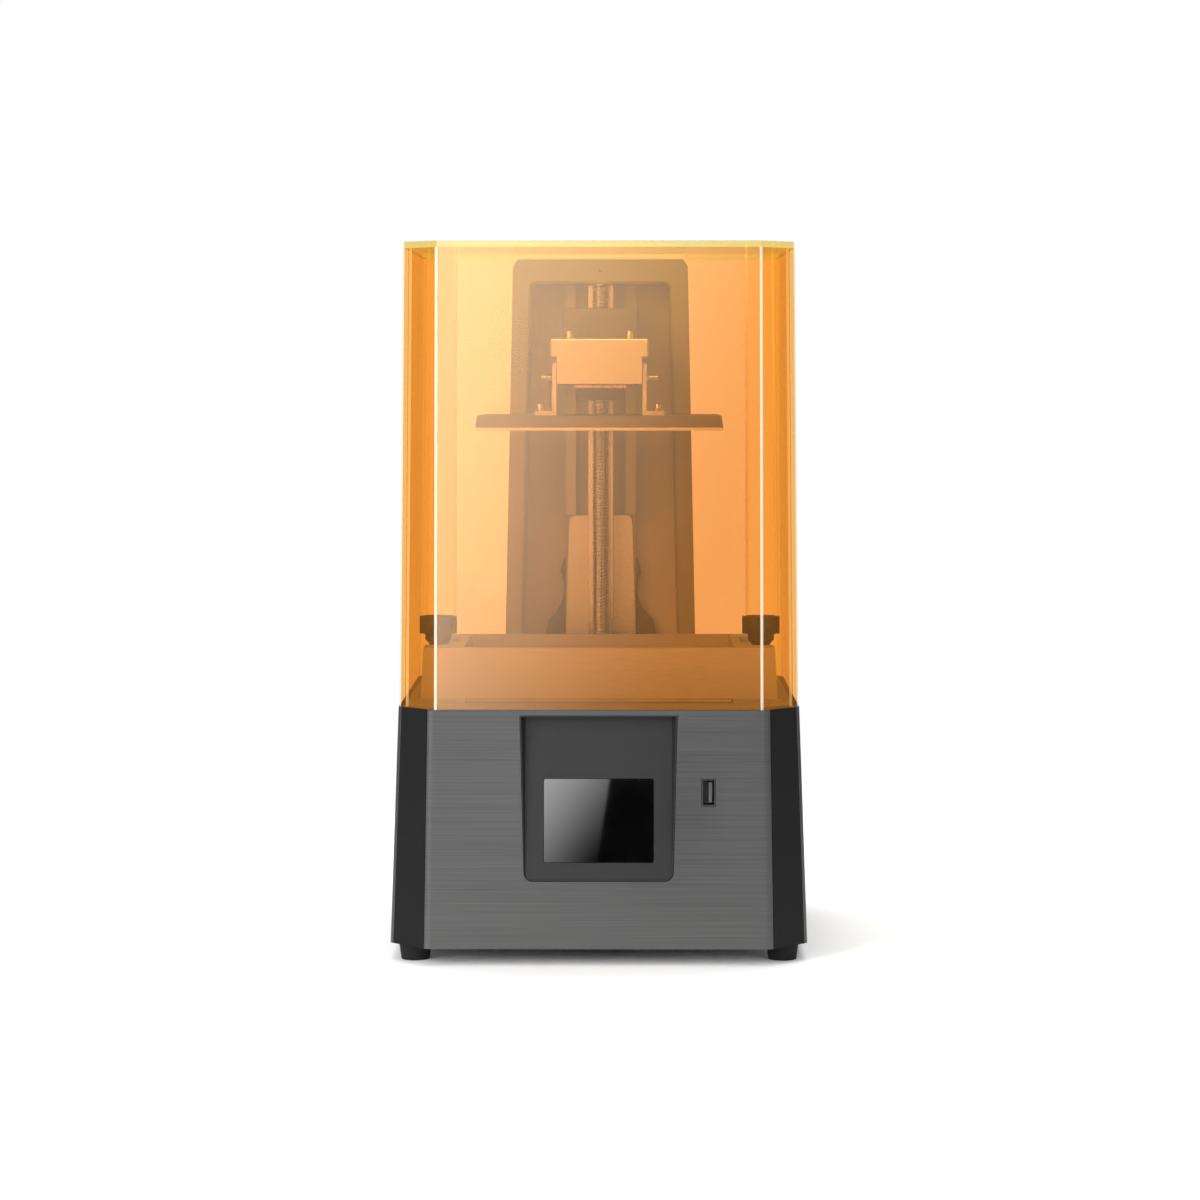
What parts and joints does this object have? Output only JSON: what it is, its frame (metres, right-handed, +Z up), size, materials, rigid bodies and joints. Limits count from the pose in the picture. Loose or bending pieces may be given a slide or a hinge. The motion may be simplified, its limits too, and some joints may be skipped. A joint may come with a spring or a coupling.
{
  "type": "resin 3d printer",
  "caption": "Desktop resin printer with a flared octagonal base, tilted touch screen, amber lift-off cover, clamped vat and a build plate that rides a central screw-driven column.",
  "frame": {"origin": "floor point under the middle of the base", "axes": "+Z up, -Y out of the front with the touch screen, +X to the right seen from the front"},
  "size_m": [0.236, 0.236, 0.4042],
  "materials": {
    "brushed_panel": "brushed grey",
    "dark_corner": "fine matte",
    "plate_metal": "powder coated",
    "rubber": "matte",
    "steel": "ground",
    "black_plastic": "fine matte",
    "screen_glass": "polished",
    "lamp_metal": "mill finish",
    "clear_plastic": "clear",
    "circuit_board": "solder mask",
    "motor_black": "satin",
    "tower_paint": "powder coated",
    "bright_alloy": "satin",
    "dark_alloy": "dark anodised",
    "brass": "turned",
    "vat_metal": "anodised",
    "amber_cover": "clear amber"
  },
  "bodies": {
    "base": {"front_panel": "brushed_panel", "left_panel": "brushed_panel", "right_panel": "brushed_panel", "rear_panel": "brushed_panel", "front_left_corner": "dark_corner", "front_right_corner": "dark_corner", "rear_left_corner": "dark_corner", "rear_right_corner": "dark_corner", "bottom_plate": "plate_metal", "deck_plate": "plate_metal", "vat_rails": "plate_metal", "feet": "rubber", "foot_screws": "steel", "motor_screws": "steel", "fan_screws": "steel", "linear_rail": "steel", "top_bearing": "steel", "usb_socket": "steel", "screen_bezel": "black_plastic", "display_module": "black_plastic", "usb_insert": "black_plastic", "end_switch": "black_plastic", "fan_frame": "black_plastic", "power_socket": "black_plastic", "switch_housing": "black_plastic", "touch_screen": "screen_glass", "mask_screen": "screen_glass", "lamp_box": "lamp_metal", "heat_sink": "lamp_metal", "lamp_lens": "clear_plastic", "led_board": "circuit_board", "control_board": "circuit_board", "lift_motor": "motor_black", "tower_housing": "tower_paint", "column_gussets": "tower_paint", "z_column": "tower_paint", "foot_bracket": "bright_alloy"},
    "cover": {"cover_walls": "amber_cover", "cover_top": "amber_cover"},
    "screw": {"lead_screw": "steel"},
    "carriage": {"rail_slider": "steel", "carriage_block": "dark_alloy", "lead_nut": "brass", "backlash_nut": "black_plastic", "arm_block": "bright_alloy", "arm_screws": "steel", "level_pins": "steel"},
    "platform": {"left_bracket": "bright_alloy", "right_bracket": "bright_alloy", "build_plate": "dark_alloy", "plate_face": "bright_alloy", "plate_screws": "steel"},
    "vat": {"vat_tank": "vat_metal", "release_film": "clear_plastic", "film_frame": "black_plastic"},
    "left_knob_body": {"left_knob": "black_plastic"},
    "right_knob_body": {"right_knob": "black_plastic"},
    "fan": {"fan_rotor": "black_plastic"},
    "rocker": {"power_rocker": "black_plastic"}
  },
  "joints": [
    {"name": "cover_lift", "type": "slide", "parent": "base", "child": "cover", "axis": [0, 0, 1], "range_m": [0, 0.27]},
    {"name": "carriage_travel", "type": "slide", "parent": "base", "child": "carriage", "axis": [0, 0, 1], "range_m": [-0.152, 0.012]},
    {"name": "screw_turn", "type": "hinge", "parent": "base", "child": "screw", "pos_m": [0, 0.059, 0.144], "axis": [0, 0, 1], "range_deg": [-2180, 27380]},
    {"name": "platform_level", "type": "slide", "parent": "carriage", "child": "platform", "axis": [0, 0, 1], "range_m": [0, 0.003]},
    {"name": "vat_lift", "type": "slide", "parent": "base", "child": "vat", "axis": [0, 0, 1], "range_m": [0, 0.06]},
    {"name": "left_knob_turn", "type": "hinge", "parent": "vat", "child": "left_knob_body", "pos_m": [-0.094, -0.027, 0.18], "axis": [0, 0, 1], "range_deg": [0, 720]},
    {"name": "right_knob_turn", "type": "hinge", "parent": "vat", "child": "right_knob_body", "pos_m": [0.094, -0.027, 0.18], "axis": [0, 0, 1], "range_deg": [0, 720]},
    {"name": "fan_spin", "type": "hinge", "parent": "base", "child": "fan", "pos_m": [0.052, 0.11536, 0.07995], "axis": [0, 0.9993, 0.0374], "continuous": true},
    {"name": "rocker_tilt", "type": "hinge", "parent": "base", "child": "rocker", "pos_m": [-0.076, 0.11187, 0.07982], "axis": [1, 0, 0], "range_deg": [0, 14]}
  ],
  "couplings": [
    {"joint": "screw_turn", "follows": "carriage_travel", "rad_per_m": -3141.6}
  ]
}
